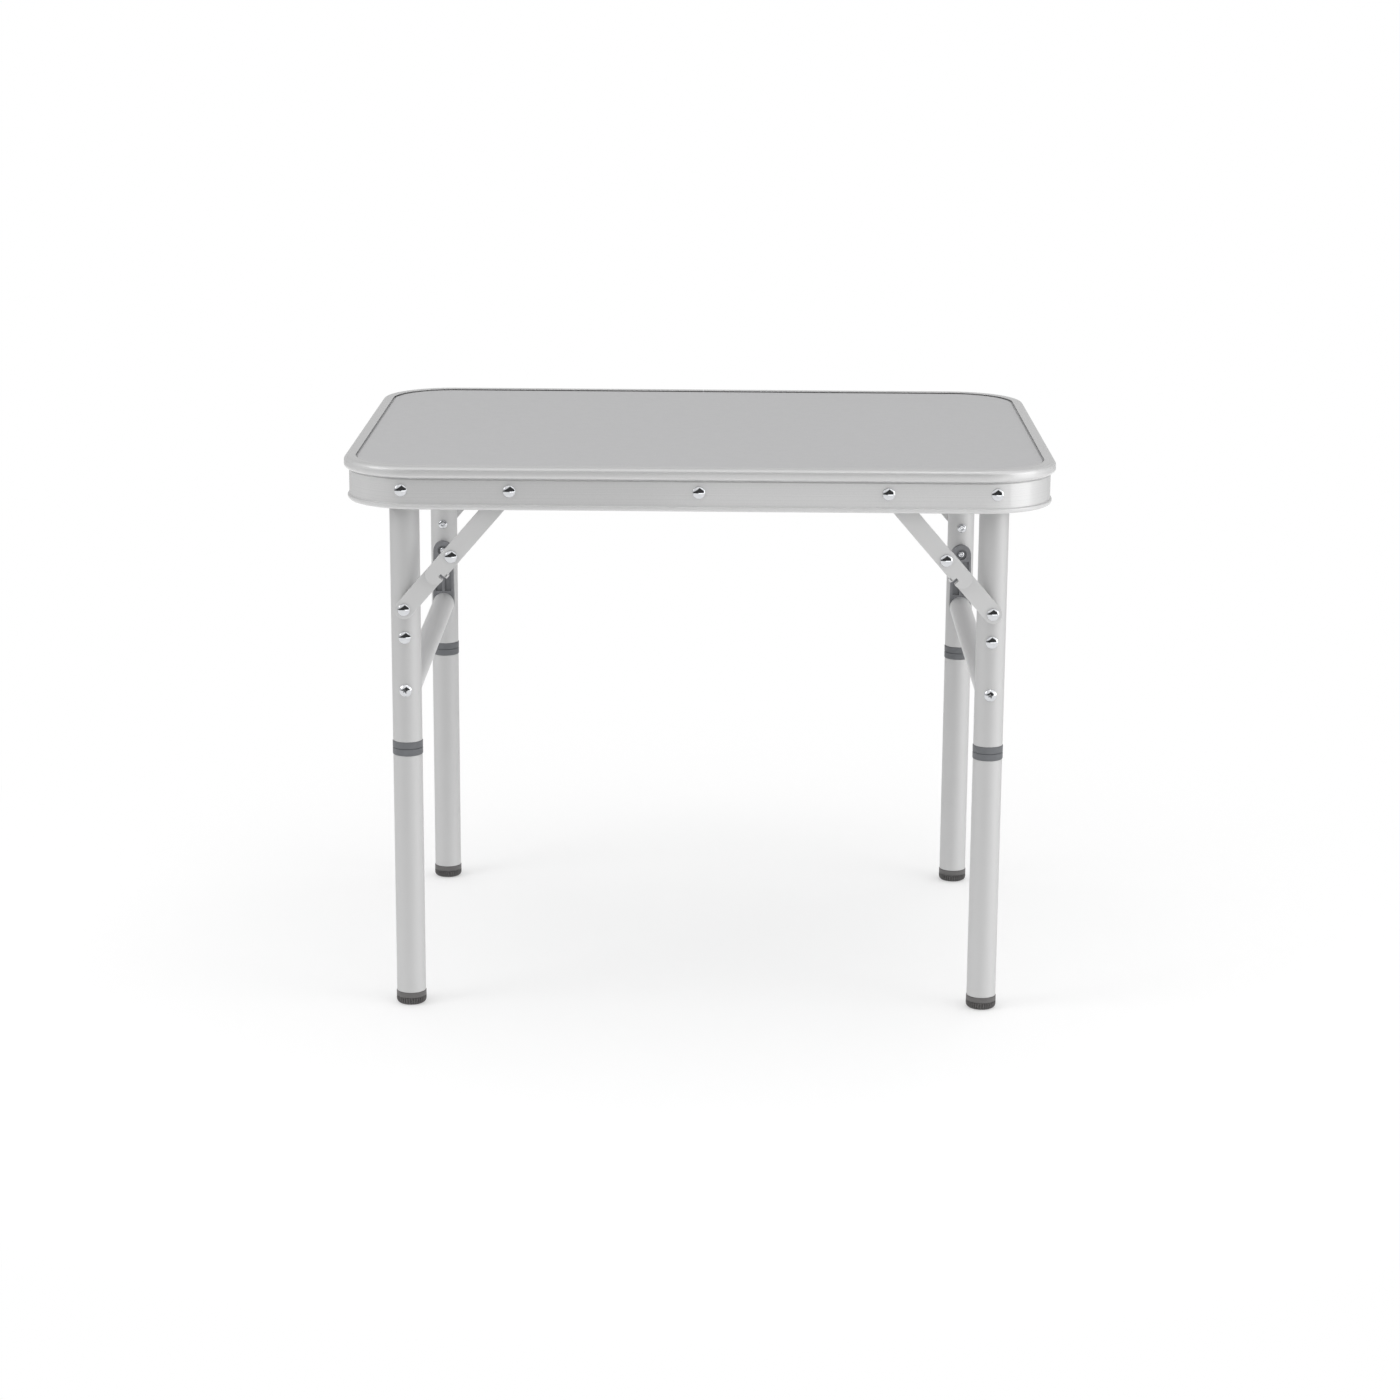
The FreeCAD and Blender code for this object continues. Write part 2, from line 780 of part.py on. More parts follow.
def strap_outline(start, end):
    half = size("link_width") / 2
    return [
        (start, -half),
        (end, -half, half, 1),
        (end + half, zero, half, 1),
        (end, half),
        (start, half, half, 1),
        (start - half, zero, half, 1),
    ]


def top_link():
    # Front strap of the brace. Its tail runs past the middle rivet and carries the stop lug.
    body = new_body("front_left_top_link")
    tail_end = top_link_length + size("link_tail") - size("link_width") / 2
    sketch = sketch_on(body, "XZ_Plane", "top_link_outline", -top_link_back_y)
    outline(sketch, strap_outline(zero, tail_end))
    padded(body, sketch, "top_link_strap", size("link_thickness"))
    half = size("link_width") / 2
    lug_at = top_link_length + size("lug_reach")
    lug_half = size("lug_width") / 2
    lug = sketch_on(body, "XZ_Plane", "lug_sketch", -top_link_front_y)
    low = half + face_gap
    outline(lug, box_outline(lug_at - lug_half, low - size("lug_thickness"), lug_at + lug_half,
                             low + size("lug_thickness")))
    padded(body, lug, "lug_root", size("link_thickness"), reverse=True)
    bend = sketch_on(body, "XZ_Plane", "lug_bend_sketch", -top_link_back_y)
    outline(bend, box_outline(lug_at - lug_half, low, lug_at + lug_half, low + size("lug_thickness")))
    padded(body, bend, "lug_bend", size("lug_depth"), reverse=True)
    doc.recompute()
    cut_through(body, "XZ_Plane", "top_link_holes", [
        (zero, zero, shank_hole),
        (top_link_length, zero, shank_hole),
    ])
    along_brace(body, frame_pivot_x, pivot_z)
    return body


def low_link():
    # Rear strap of the brace, from the middle rivet to the leg.
    body = new_body("front_left_low_link")
    sketch = sketch_on(body, "XZ_Plane", "low_link_outline", -low_link_back_y)
    outline(sketch, strap_outline(top_link_length, brace_length))
    padded(body, sketch, "low_link_strap", size("link_thickness"))
    doc.recompute()
    cut_through(body, "XZ_Plane", "low_link_holes", [
        (top_link_length, zero, shank_hole),
        (brace_length, zero, shank_hole),
    ])
    along_brace(body, frame_pivot_x, pivot_z)
    return body


def middle_place():
    share = top_link_length / brace_length
    return frame_pivot_x - brace_reach * share, pivot_z - brace_drop * share


def middle_rivet():
    # Head half of the rivet between the links, with the washer that keeps them apart.
    head = size("rivet_head_radius")
    rise = size("rivet_head_height")
    dome = (head * head + rise * rise) / (rise * 2)
    x, z = middle_place()
    body = turned("front_left_middle_rivet", "XY_Plane", [
        (zero, top_link_front_y - rise, dome, 1),
        (head, top_link_front_y),
        (shank, top_link_front_y),
        (shank, top_link_back_y),
        (head, top_link_back_y),
        (head, low_link_front_y - face_gap),
        (zero, low_link_front_y - face_gap),
    ])
    place(body, x, zero, z)
    return body


def middle_tail():
    # Flush tail half of the same rivet, closed in the rear link.
    x, z = middle_place()
    body = turned("front_left_middle_rivet_tail", "XY_Plane", [
        (zero, low_link_front_y),
        (shank, low_link_front_y),
        (shank, low_link_back_y),
        (zero, low_link_back_y),
    ])
    place(body, x, zero, z)
    return body


def braces():
    for make in (top_link, low_link, middle_rivet, middle_tail):
        keep(*four_corners(make()))


table_top()
leg_frames()
leg_extensions()
braces()
doc.recompute()

failed = [o.Name for o in doc.Objects if "Invalid" in o.State or "Error" in o.State]
if failed:
    raise RuntimeError(f"features that failed: {failed}")
for node in nodes:
    if node.Shape.isNull() or not node.Shape.isValid() or not node.Shape.Solids:
        raise RuntimeError(f"{node.Label} has no valid solid")

os.makedirs("parts", exist_ok=True)
for node in nodes:
    node.Shape.exportStep(f"parts/{node.Label}.step")
    print(node.Label, len(node.Shape.Solids), round(node.Shape.Volume, 2))
print(len(nodes), "nodes")
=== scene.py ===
import math

import bmesh
import bpy
from mathutils import Matrix, Vector


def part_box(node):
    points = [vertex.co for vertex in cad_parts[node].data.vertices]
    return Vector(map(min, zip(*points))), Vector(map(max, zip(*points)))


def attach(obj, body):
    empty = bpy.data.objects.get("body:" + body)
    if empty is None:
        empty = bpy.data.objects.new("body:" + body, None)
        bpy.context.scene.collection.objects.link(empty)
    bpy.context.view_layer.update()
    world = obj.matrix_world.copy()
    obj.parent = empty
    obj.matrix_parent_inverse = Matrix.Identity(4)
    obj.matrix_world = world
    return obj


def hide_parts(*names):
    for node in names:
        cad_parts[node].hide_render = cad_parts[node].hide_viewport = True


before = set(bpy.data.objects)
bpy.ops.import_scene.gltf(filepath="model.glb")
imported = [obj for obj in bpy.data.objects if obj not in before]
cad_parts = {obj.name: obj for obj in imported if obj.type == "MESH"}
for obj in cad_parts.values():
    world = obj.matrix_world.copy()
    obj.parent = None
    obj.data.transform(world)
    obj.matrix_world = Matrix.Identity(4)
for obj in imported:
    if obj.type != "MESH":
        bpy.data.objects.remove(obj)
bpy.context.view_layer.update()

mm = 0.001
tiny = 0.001 * mm  # points closer than this are one
corners = {"front_left": (-1, -1), "front_right": (1, -1), "rear_left": (-1, 1), "rear_right": (1, 1)}
sides = ("left", "right")
scene = bpy.context.scene


def linear(hexText):
    values = [int(hexText[i:i + 2], 16) / 255 for i in (1, 3, 5)]
    return [v / 12.92 if v <= 0.04045 else ((v + 0.055) / 1.055) ** 2.4 for v in values] + [1.0]


def addNode(tree, kind, settings=None, links=None):
    node = tree.nodes.new(kind)
    for name, value in (settings or {}).items():
        if isinstance(name, int) or name in node.inputs:
            node.inputs[name].default_value = value
        else:
            setattr(node, name, value)
    for name, source in (links or {}).items():
        tree.links.new(source, node.inputs[name])
    return node


def newMaterial(name, metallic):
    material = bpy.data.materials.new(name)
    material.use_nodes = True
    tree = material.node_tree
    shader = tree.nodes["Principled BSDF"]
    shader.inputs["Metallic"].default_value = metallic
    where = addNode(tree, "ShaderNodeTexCoord")
    return material, tree, shader, where


def noise(tree, place, size, detail):
    # size is that of the pattern's cells, in mm
    return addNode(tree, "ShaderNodeTexNoise", {"Scale": 1 / (size * mm), "Detail": detail},
                   {"Vector": place}).outputs[0]


def lineNoise(tree, place, stretch, detail):
    mapped = addNode(tree, "ShaderNodeMapping", {"Scale": stretch}, {"Vector": place})
    return addNode(tree, "ShaderNodeTexNoise", {"Scale": 1.0, "Detail": detail},
                   {"Vector": mapped.outputs[0]}).outputs[0]


def surface(tree, shader, finish, colour, rough, height):
    # three patterns, which may be one and the same, drive colour, roughness and relief
    mix = addNode(tree, "ShaderNodeMix",
                  {"data_type": "RGBA", 6: linear(finish["dark"]), 7: linear(finish["light"])}, {0: colour})
    tree.links.new(mix.outputs[2], shader.inputs["Base Color"])
    # a pattern's 0.3 to 0.7 stretched to the finish's range
    low, high = finish["rough"]
    ranged = addNode(tree, "ShaderNodeMapRange", {1: 0.3, 2: 0.7, 3: low, 4: high}, {0: rough})
    tree.links.new(ranged.outputs[0], shader.inputs["Roughness"])
    if "depth" in finish:
        bump = addNode(tree, "ShaderNodeBump",
                       {"Strength": finish["strength"], "Distance": finish["depth"] * mm}, {"Height": height})
        tree.links.new(bump.outputs[0], shader.inputs["Normal"])


# Materials

# Extruded aluminium, etched and clear anodised: satin grey with faint die lines along its length
frameFinish = {"dark": "#D9D9D9", "light": "#E3E3E3", "dieLine": 0.9, "etch": 0.7, "rough": (0.6, 0.7),
               "depth": 0.02, "strength": 0.5, "oxide": 1.0, "oxideRough": 0.14, "oxideIor": 1.6}


def extrudedAluminium():
    finish = frameFinish
    material, tree, shader, where = newMaterial("extruded_aluminium", 1.0)
    parts = addNode(tree, "ShaderNodeSeparateXYZ", None, {0: where.outputs["Object"]})
    # the extrusion keeps its level all the way round, so height alone draws its lines
    lines = addNode(tree, "ShaderNodeTexNoise",
                    {"noise_dimensions": "1D", "Scale": 1 / (finish["dieLine"] * mm), "Detail": 3.0},
                    {"W": parts.outputs["Z"]}).outputs[0]
    etch = noise(tree, where.outputs["Object"], finish["etch"], 2.0)
    surface(tree, shader, finish, lines, etch, lines)
    # the clear oxide layer on top keeps a sharper sheen than the etched metal
    shader.inputs["Coat Weight"].default_value = finish["oxide"]
    shader.inputs["Coat Roughness"].default_value = finish["oxideRough"]
    shader.inputs["Coat IOR"].default_value = finish["oxideIor"]
    return material


# Drawn aluminium tube, satin anodised: soft lines along the tube and an even sheen round it
tubeFinish = {"drawLine": 0.5, "lineLength": 70.0, "rough": (0.67, 0.75), "depth": 0.006, "strength": 0.25}
legFinish = {**tubeFinish, "dark": "#D3D3D3", "light": "#DDDDDD"}
# the crossbar's copy of the tube finish is painted lighter than the legs': painted light that makes up for
# the shade the table top throws on the crossbar
crossbarPaintedLightFinish = {**tubeFinish, "dark": "#E2E2E2", "light": "#ECECEC"}


def drawnAluminium(name, lengthAxis, finish):
    material, tree, shader, where = newMaterial(name, 1.0)
    stretch = [1 / (finish["drawLine"] * mm)] * 3
    stretch[lengthAxis] = 1 / (finish["lineLength"] * mm)
    lines = lineNoise(tree, where.outputs["Object"], stretch, 2.0)
    surface(tree, shader, finish, lines, lines, lines)
    return material


# Rolled aluminium strip, blanked and tumbled: flat satin grey with short roll lines
strapFinish = {"dark": "#DCDCDC", "light": "#E6E6E6", "rollLine": 0.6, "lineLength": 25.0,
               "rough": (0.6, 0.7), "depth": 0.008, "strength": 0.25}


def rolledAluminium():
    finish = strapFinish
    material, tree, shader, where = newMaterial("rolled_aluminium", 1.0)
    # the straps' UV is in mm along and across them
    stretch = (1 / finish["lineLength"], 1 / finish["rollLine"], 1.0)
    lines = lineNoise(tree, where.outputs["UV"], stretch, 3.0)
    surface(tree, shader, finish, lines, lines, lines)
    return material


# Mill finish aluminium bar, unseen from outside: duller and greyer than the anodised pieces
battenFinish = {"dark": "#A0A1A3", "light": "#B4B5B7", "millLine": 0.6, "lineLength": 40.0,
                "rough": (0.42, 0.55)}


def millAluminium():
    finish = battenFinish
    material, tree, shader, where = newMaterial("mill_aluminium", 1.0)
    fine = 1 / (finish["millLine"] * mm)
    stretch = (fine, 1 / (finish["lineLength"] * mm), fine)
    lines = lineNoise(tree, where.outputs["Object"], stretch, 2.0)
    surface(tree, shader, finish, lines, lines, lines)
    return material


# Nickel plated steel, barrel polished: a mirror with slight waviness
steelFinish = {"dark": "#CFD1D5", "light": "#DCDDDF", "wave": 2.5, "rough": (0.06, 0.12),
               "depth": 0.02, "strength": 0.1}


def platedSteel():
    finish = steelFinish
    material, tree, shader, where = newMaterial("nickel_plated_steel", 1.0)
    waves = noise(tree, where.outputs["Object"], finish["wave"], 1.0)
    surface(tree, shader, finish, waves, waves, waves)
    return material


# Melamine laminate on board, light grey with a cloudy print and a fine pressed grain
panelFinish = {"dark": "#B2B2B3", "light": "#B8B8B9", "cloud": 9.0, "grain": 0.8, "rough": (0.44, 0.56),
               "depth": 0.015, "strength": 0.3}


def melamineLaminate():
    finish = panelFinish
    material, tree, shader, where = newMaterial("melamine_laminate", 0.0)
    clouds = noise(tree, where.outputs["Object"], finish["cloud"], 5.0)
    grain = noise(tree, where.outputs["Object"], finish["grain"], 2.0)
    surface(tree, shader, finish, clouds, grain, grain)
    return material


# Injection moulded plastic with a spark eroded grain: matt, with a slightly lighter bloom
plasticFinish = {"bloom": 7.0, "rough": (0.42, 0.58), "depth": 0.02, "strength": 0.3}


def mouldedPlastic(name, dark, light, grainSize):
    finish = {**plasticFinish, "dark": dark, "light": light}
    material, tree, shader, where = newMaterial(name, 0.0)
    grain = noise(tree, where.outputs["Object"], grainSize, 3.0)
    bloom = noise(tree, where.outputs["Object"], finish["bloom"], 3.0)
    surface(tree, shader, finish, bloom, grain, grain)
    return material


frameMetal = extrudedAluminium()
legMetal = drawnAluminium("drawn_aluminium_leg", 2, legFinish)
crossbarMetal = drawnAluminium("drawn_aluminium_crossbar", 1, crossbarPaintedLightFinish)
strapMetal = rolledAluminium()
barMetal = millAluminium()
rivetMetal = platedSteel()
laminate = melamineLaminate()
collarPlastic = mouldedPlastic("moulded_nylon_collar", "#5B5D60", "#686A6D", 0.5)
footPlastic = mouldedPlastic("moulded_polypropylene_foot", "#585656", "#656463", 0.5)
bracketPlastic = mouldedPlastic("moulded_nylon_bracket", "#6B6C6F", "#7A7B7E", 0.6)
bushPlastic = mouldedPlastic("moulded_acetal_bush", "#8B8C8E", "#98999B", 0.5)
print("materials made")


# Shared modelling steps

def vertsOf(geom):
    return [part for part in geom if isinstance(part, bmesh.types.BMVert)]


def drawLine(bm, start, moves, closed=False):
    # a move is (x, z) straight on, or (x, z, degrees, steps) clockwise round that centre, in mm
    first = here = bm.verts.new(Vector((start[0], 0, start[1])) * mm)
    for move in moves:
        spot = Vector((move[0], 0, move[1])) * mm
        if len(move) == 2:
            here = bmesh.ops.extrude_vert_indiv(bm, verts=[here])["verts"][0]
            here.co = spot
        else:
            made = bmesh.ops.spin(bm, geom=[here], cent=spot, axis=(0, 1, 0), angle=math.radians(move[2]),
                                  steps=move[3])
            here = vertsOf(made["geom_last"])[0]
    if closed:
        bm.edges.new((here, first))


def turnRound(bm, steps):
    bmesh.ops.spin(bm, geom=bm.verts[:] + bm.edges[:], cent=(0, 0, 0), axis=(0, 0, 1), angle=2 * math.pi,
                   steps=steps, use_merge=True)
    bmesh.ops.remove_doubles(bm, verts=bm.verts, dist=tiny)


def turnedForm(start, moves, closed=False, steps=72):
    bm = bmesh.new()
    drawLine(bm, start, moves, closed)
    turnRound(bm, steps)
    return bm


def raiseFaces(bm, move):
    raised = bmesh.ops.extrude_face_region(bm, geom=bm.faces[:])["geom"]
    bmesh.ops.translate(bm, vec=move, verts=vertsOf(raised))
    return raised


def addForm(target, form, matrix):
    form = form.copy()
    bmesh.ops.transform(form, matrix=matrix, verts=form.verts)
    mesh = bpy.data.meshes.new("form")
    form.to_mesh(mesh)
    form.free()
    target.from_mesh(mesh)
    bpy.data.meshes.remove(mesh)


def finishPiece(name, bm, material, body, nodes, soft=0.0, sharpAngle=35):
    bmesh.ops.remove_doubles(bm, verts=bm.verts, dist=tiny)
    bmesh.ops.recalc_face_normals(bm, faces=bm.faces)
    mesh = bpy.data.meshes.new(name)
    bm.to_mesh(mesh)
    bm.free()
    mesh.materials.append(material)
    mesh.shade_smooth()
    if not soft:
        mesh.set_sharp_from_angle(angle=math.radians(sharpAngle))
    piece = bpy.data.objects.new(name, mesh)
    scene.collection.objects.link(piece)
    if soft:
        edges = piece.modifiers.new("soft_edges", "BEVEL")
        edges.width = soft * mm
        edges.segments = 2
        edges.limit_method = "ANGLE"
        edges.angle_limit = math.radians(sharpAngle)
        edges.harden_normals = True
    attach(piece, body)
    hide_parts(*nodes)


def outward(x, z, sideY):
    # a form's own Z turned to point out of the front or rear of the table
    return Matrix.Translation(Vector((x, 0, z))) @ Matrix.Rotation(-sideY * math.pi / 2, 4, "X")


def middleOf(node):
    low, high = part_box(node)
    return (low + high) / 2


def legAxis(corner):
    middle = middleOf(corner + "_upper_leg")
    return Matrix.Translation((middle.x, middle.y, 0))


def sideOf(sideX):
    return "left" if sideX < 0 else "right"


# Edge extrusion
edgeFrame = {"cornerRadius": 65.0, "cornerSteps": 28, "seam": 0.2, "edgeRound": 0.22,
             "lipWidth": 10.0, "lip": 1.2, "lipHook": 1.4, "groove": 0.9,
             "beadTop": 4.0, "beadHeight": 10.0, "beadUnder": 3.0, "skirtInset": 4.2, "skirtWall": 1.4,
             "skirt": 36.5, "lowBead": 4.6, "lowBeadInset": 2.8, "lowBeadRound": 2.0, "lowBeadSlope": 0.9,
             "flange": 3.4, "panel": 5.0, "ledge": 8.4, "ledgeThickness": 1.4}


def makeEdgeFrame():
    size = edgeFrame
    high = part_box("edge_frame")[1]
    halfWide = high.x
    halfDeep = high.y
    radius = size["cornerRadius"] * mm
    back = -size["skirtInset"] - size["skirtWall"]
    lowTop = size["lowBead"] - size["skirt"]
    ledgeTop = -size["lip"] - size["panel"]
    bm = bmesh.new()
    drawLine(bm, (-size["lipWidth"], 0), [
        (-size["beadTop"], 0),
        (-size["beadTop"], -size["beadTop"], 90, 8),
        (0, size["beadUnder"] - size["beadHeight"]),
        (-size["beadUnder"], size["beadUnder"] - size["beadHeight"], 90, 6),
        (-size["skirtInset"] - size["groove"], -size["beadHeight"]),
        (-size["skirtInset"] - size["groove"], -size["beadHeight"] - size["groove"]),
        (-size["skirtInset"], -size["beadHeight"] - 2 * size["groove"]),
        (-size["skirtInset"], lowTop),
        (-size["lowBeadInset"], lowTop - size["lowBeadSlope"]),
        (-size["lowBeadInset"], size["lowBeadRound"] - size["skirt"]),
        (-size["lowBeadInset"] - size["lowBeadRound"], size["lowBeadRound"] - size["skirt"], 90, 5),
        (back - size["flange"], -size["skirt"]),
        (back - size["flange"], size["skirtWall"] - size["skirt"]),
        (back, size["skirtWall"] - size["skirt"]),
        (back, ledgeTop - size["ledgeThickness"]),
        (back - size["ledge"], ledgeTop - size["ledgeThickness"]),
        (back - size["ledge"], ledgeTop),
        (back, ledgeTop),
        (back, -size["lip"]),
        (-size["lipWidth"] + size["lipHook"], -size["lip"]),
        (-size["lipWidth"], -size["lip"] / 2),
    ], closed=True)
    start = Vector((size["seam"] * mm / 2, halfDeep, high.z))
    turned = Matrix.Translation(start) @ Matrix.Rotation(math.pi / 2, 4, "Z")
    bmesh.ops.transform(bm, matrix=turned, verts=bm.verts)
    ends = bm.verts[:] + bm.edges[:]
    alongX = halfWide - radius
    alongY = halfDeep - radius
    # clockwise from the seam: each straight run, then the corner after it
    runs = [((alongX - start.x, 0), (alongX, alongY)), ((0, -2 * alongY), (alongX, -alongY)),
            ((-2 * alongX, 0), (-alongX, -alongY)), ((0, 2 * alongY), (-alongX, alongY)),
            ((alongX - start.x, 0), None)]
    for run, centre in runs:
        section = [e for e in ends if isinstance(e, bmesh.types.BMEdge)]
        ends = bmesh.ops.extrude_edge_only(bm, edges=section)["geom"]
        moved = vertsOf(ends)
        bmesh.ops.translate(bm, vec=(run[0], run[1], 0), verts=moved)
        ends = moved + [e for e in ends if isinstance(e, bmesh.types.BMEdge)
                        and all(v in set(moved) for v in e.verts)]
        if centre:
            ends = bmesh.ops.spin(bm, geom=ends, cent=(centre[0], centre[1], 0), axis=(0, 0, 1),
                                  angle=-math.pi / 2, steps=size["cornerSteps"])["geom_last"]
    bmesh.ops.holes_fill(bm, edges=[e for e in bm.edges if e.is_boundary], sides=0)
    finishPiece("frame_extrusion", bm, frameMetal, "table_top", ["edge_frame"],
                size["edgeRound"])


makeEdgeFrame()
print("edge frame made")


# Panel
tablePanel = {"cornerRadius": 59.0, "cornerSteps": 24, "edgeRound": 0.3, "margin": 5.2, "step": 0.8,
              "stepSlope": 0.3}


def makePanel():
    low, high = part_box("tabletop_panel")
    step = tablePanel["step"] * mm
    bm = bmesh.new()
    bmesh.ops.create_grid(bm, x_segments=1, y_segments=1, size=0.5)
    bmesh.ops.scale(bm, vec=(high.x - low.x, high.y - low.y, 1), verts=bm.verts)
    bmesh.ops.bevel(bm, geom=bm.verts[:], offset=tablePanel["cornerRadius"] * mm,
                    segments=tablePanel["cornerSteps"], profile=0.5, affect="VERTICES", material=-1)
    bmesh.ops.translate(bm, vec=(0, 0, low.z), verts=bm.verts)
    top = raiseFaces(bm, (0, 0, high.z - low.z - step))
    # the printed field stands proud of the margin, which leaves a shadow line along the lip
    field = [f for f in top if isinstance(f, bmesh.types.BMFace)]
    bmesh.ops.recalc_face_normals(bm, faces=bm.faces)
    bmesh.ops.inset_region(bm, faces=field, thickness=tablePanel["margin"] * mm, use_even_offset=True)
    bmesh.ops.inset_region(bm, faces=field, thickness=tablePanel["stepSlope"] * mm, depth=step,
                           use_even_offset=True)
    finishPiece("laminate_panel", bm, laminate, "table_top", ["tabletop_panel"],
                tablePanel["edgeRound"])


makePanel()
print("panel made")


# Leg tubes, collars and feet
legTube = {"radius": 12.5, "wall": 1.2, "edgeRound": 0.3}
collar = {"radius": 12.9, "upperRing": 6.0, "lowerRing": 5.9, "footRing": 5.0, "plug": 11.25, "stud": 5.0,
          "studLength": 16.0, "thread": 5.3, "threadEnd": 0.3, "edgeRound": 0.6}
screwFoot = {"ribs": 36, "ribSteps": 4, "grooveDepth": 1.4, "edge": 3.6, "plainTop": 0.7, "ribStart": 0.3,
             "sharpAngle": 28}


def makeTube(name, node, body, place):
    low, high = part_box(node)
    outer = legTube["radius"]
    inner = outer - legTube["wall"]
    bottom = low.z / mm
    top = high.z / mm
    bm = turnedForm((inner, bottom), [(outer, bottom), (outer, top), (inner, top)], closed=True)
    bmesh.ops.transform(bm, matrix=place, verts=bm.verts)
    finishPiece(name, bm, legMetal, body, [node], legTube["edgeRound"])


def makeInsert(name, node, body, place, ringHeight, material):
    # threaded insert: its ring shows under the tube, its plug fills the tube
    low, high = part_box(node)
    bottom = low.z / mm
    top = high.z / mm
    ring = bottom + ringHeight
    bore = bottom + collar["studLength"] + collar["threadEnd"]
    bm = turnedForm((collar["thread"], bottom), [
        (collar["radius"], bottom), (collar["radius"], ring), (collar["plug"], ring), (collar["plug"], top),
        (0, top)])
    hollow = turnedForm((collar["thread"], bottom), [(collar["thread"], bore), (0, bore)])
    addForm(bm, hollow, Matrix.Identity(4))
    hollow.free()
    bmesh.ops.transform(bm, matrix=place, verts=bm.verts)
    finishPiece(name, bm, material, body, [node], collar["edgeRound"])


def makeStudPlug(name, node, body, place):
    low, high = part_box(node)
    bottom = low.z / mm
    top = high.z / mm
    ringTop = top - collar["studLength"]
    ringLow = ringTop - collar["lowerRing"]
    bm = turnedForm((0, bottom), [
        (collar["plug"], bottom), (collar["plug"], ringLow), (collar["radius"], ringLow),
        (collar["radius"], ringTop), (collar["stud"], ringTop), (collar["stud"], top), (0, top)])
    bmesh.ops.transform(bm, matrix=place, verts=bm.verts)
    finishPiece(name, bm, collarPlastic, body, [node], collar["edgeRound"])


def makeFoot(name, node, body, place):
    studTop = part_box(node)[1].z / mm
    top = studTop - collar["studLength"]
    outer = collar["radius"]
    edge = screwFoot["edge"]
    shoulder = top - screwFoot["plainTop"]
    steps = screwFoot["ribs"] * screwFoot["ribSteps"]
    bm = bmesh.new()
    drawLine(bm, (0, studTop), [
        (collar["stud"], studTop), (collar["stud"], top), (outer, top), (outer, shoulder),
        (outer, edge), (outer - edge, edge, 90, 6), (0, 0)])
    turnRound(bm, steps)
    # every rib's four steps: two out, two pulled in as the groove
    pitch = 2 * math.pi / steps
    ribbedFrom = (outer - edge + screwFoot["ribStart"]) * mm
    for v in bm.verts:
        reach = math.hypot(v.co.x, v.co.y)
        if reach > ribbedFrom and v.co.z < shoulder * mm + 10 * tiny:
            step = round(math.atan2(v.co.y, v.co.x) / pitch) % screwFoot["ribSteps"]
            if step in (0, 1):
                v.co.xy *= 1 - screwFoot["grooveDepth"] * mm / reach
    bmesh.ops.transform(bm, matrix=place, verts=bm.verts)
    finishPiece(name, bm, footPlastic, body, [node], 0.0, screwFoot["sharpAngle"])


for corner, (sideX, sideY) in corners.items():
    legFrame = sideOf(sideX) + "_leg_frame"
    extension = corner + "_extension"
    axis = legAxis(corner)
    makeTube(corner + "_leg_tube", corner + "_upper_leg", legFrame, axis)
    makeTube(corner + "_lower_tube", corner + "_extension_tube", extension, axis)
    makeInsert(corner + "_upper_collar", corner + "_leg_insert", legFrame, axis, collar["upperRing"],
               collarPlastic)
    makeStudPlug(corner + "_lower_collar", corner + "_stud_plug", extension, axis)
    makeInsert(corner + "_foot_ring", corner + "_foot_insert", extension, axis, collar["footRing"],
               footPlastic)
    makeFoot(corner + "_ribbed_foot", corner + "_screw_foot", corner + "_foot", axis)
print("legs made")


# Crossbars
crossbar = {"radius": 10.0, "wall": 1.2, "edgeRound": 0.3}


def makeCrossbar(side):
    node = side + "_crossbar"
    outer = crossbar["radius"]
    inner = outer - crossbar["wall"]
    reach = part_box(node)[1].y / mm
    middle = middleOf(node)
    bm = turnedForm((inner, -reach), [(outer, -reach), (outer, reach), (inner, reach)], closed=True)
    bmesh.ops.transform(bm, matrix=outward(middle.x, middle.z, -1), verts=bm.verts)
    finishPiece(side + "_cross_tube", bm, crossbarMetal, side + "_leg_frame", [node],
                crossbar["edgeRound"])


for side in sides:
    makeCrossbar(side)
print("crossbars made")


# Crossbar brackets
bracket = {"topRadius": 9.2, "bossRadius": 10.0, "rib": 2.6, "rim": 1.8, "recess": 2.4, "sink": 5.1,
           "sinkDeep": 2.0, "sinkOver": 3.0, "tail": 3.3, "edgeRound": 0.6, "sharpAngle": 40,
           "spigot": 15.0, "spigotRadius": 8.7, "spigotRoot": 1.0, "legOver": 40.0}


def cutForm(bm, cutter):
    # boolean difference through two objects that are gone again afterwards
    pieces = []
    for label, form in (("blank", bm), ("cutter", cutter)):
        bmesh.ops.recalc_face_normals(form, faces=form.faces)
        mesh = bpy.data.meshes.new(label)
        form.to_mesh(mesh)
        form.free()
        pieces.append(bpy.data.objects.new(label, mesh))
        scene.collection.objects.link(pieces[-1])
    cut = pieces[0].modifiers.new("cut", "BOOLEAN")
    cut.object = pieces[1]
    cut.operation = "DIFFERENCE"
    cut.solver = "EXACT"
    cut.use_self = True
    bpy.context.view_layer.update()
    shaped = bpy.data.meshes.new_from_object(pieces[0].evaluated_get(bpy.context.evaluated_depsgraph_get()))
    form = bmesh.new()
    form.from_mesh(shaped)
    bpy.data.meshes.remove(shaped)
    for piece in pieces:
        bpy.data.meshes.remove(piece.data)
    return form


def bracketFace():
    # how far from the middle of the table the brackets' flat faces stand
    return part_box("rear_right_crossbar_bracket")[0].y + bracket["spigot"] * mm


def diskForm(radius, bottom, top, steps=48):
    return turnedForm((0, bottom), [(radius, bottom), (radius, top), (0, top)], steps=steps)


